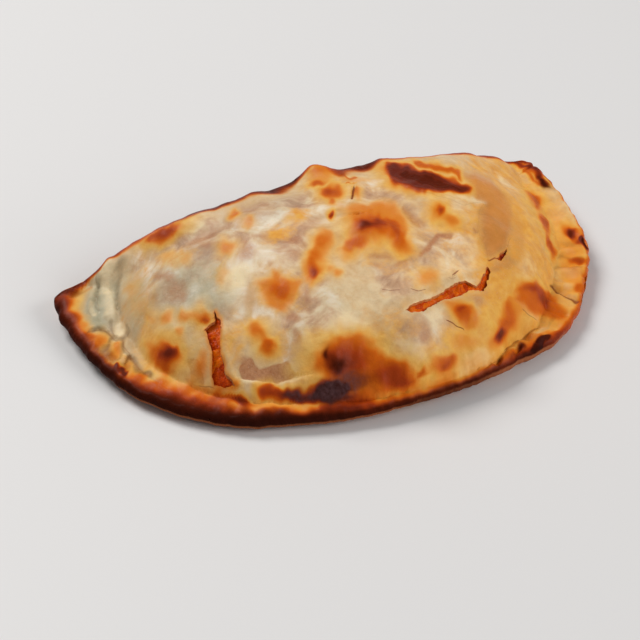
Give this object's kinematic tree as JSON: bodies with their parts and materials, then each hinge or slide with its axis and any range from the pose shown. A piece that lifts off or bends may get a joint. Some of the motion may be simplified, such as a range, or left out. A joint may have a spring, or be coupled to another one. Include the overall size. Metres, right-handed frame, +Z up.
{
  "type": "empanada",
  "caption": "Baked half-moon empanada with a fork-crimped rim, blistered and browned thin crust, and tears that show the filling.",
  "frame": {"origin": "under the middle of the bounding box, on the plane the empanada rests on", "axes": "+X along the folded edge, +Y across it with the fold at +Y and the crimped arc at -Y, +Z up"},
  "size_m": [0.1598, 0.0908, 0.0312],
  "materials": {
    "crust": "thin baked dough, pale and translucent on top, blistered orange-brown to black, softly glossy",
    "filling": "moist orange-red cooked filling"
  },
  "bodies": {
    "root": {"crust": "crust", "filling": "filling"}
  },
  "joints": []
}
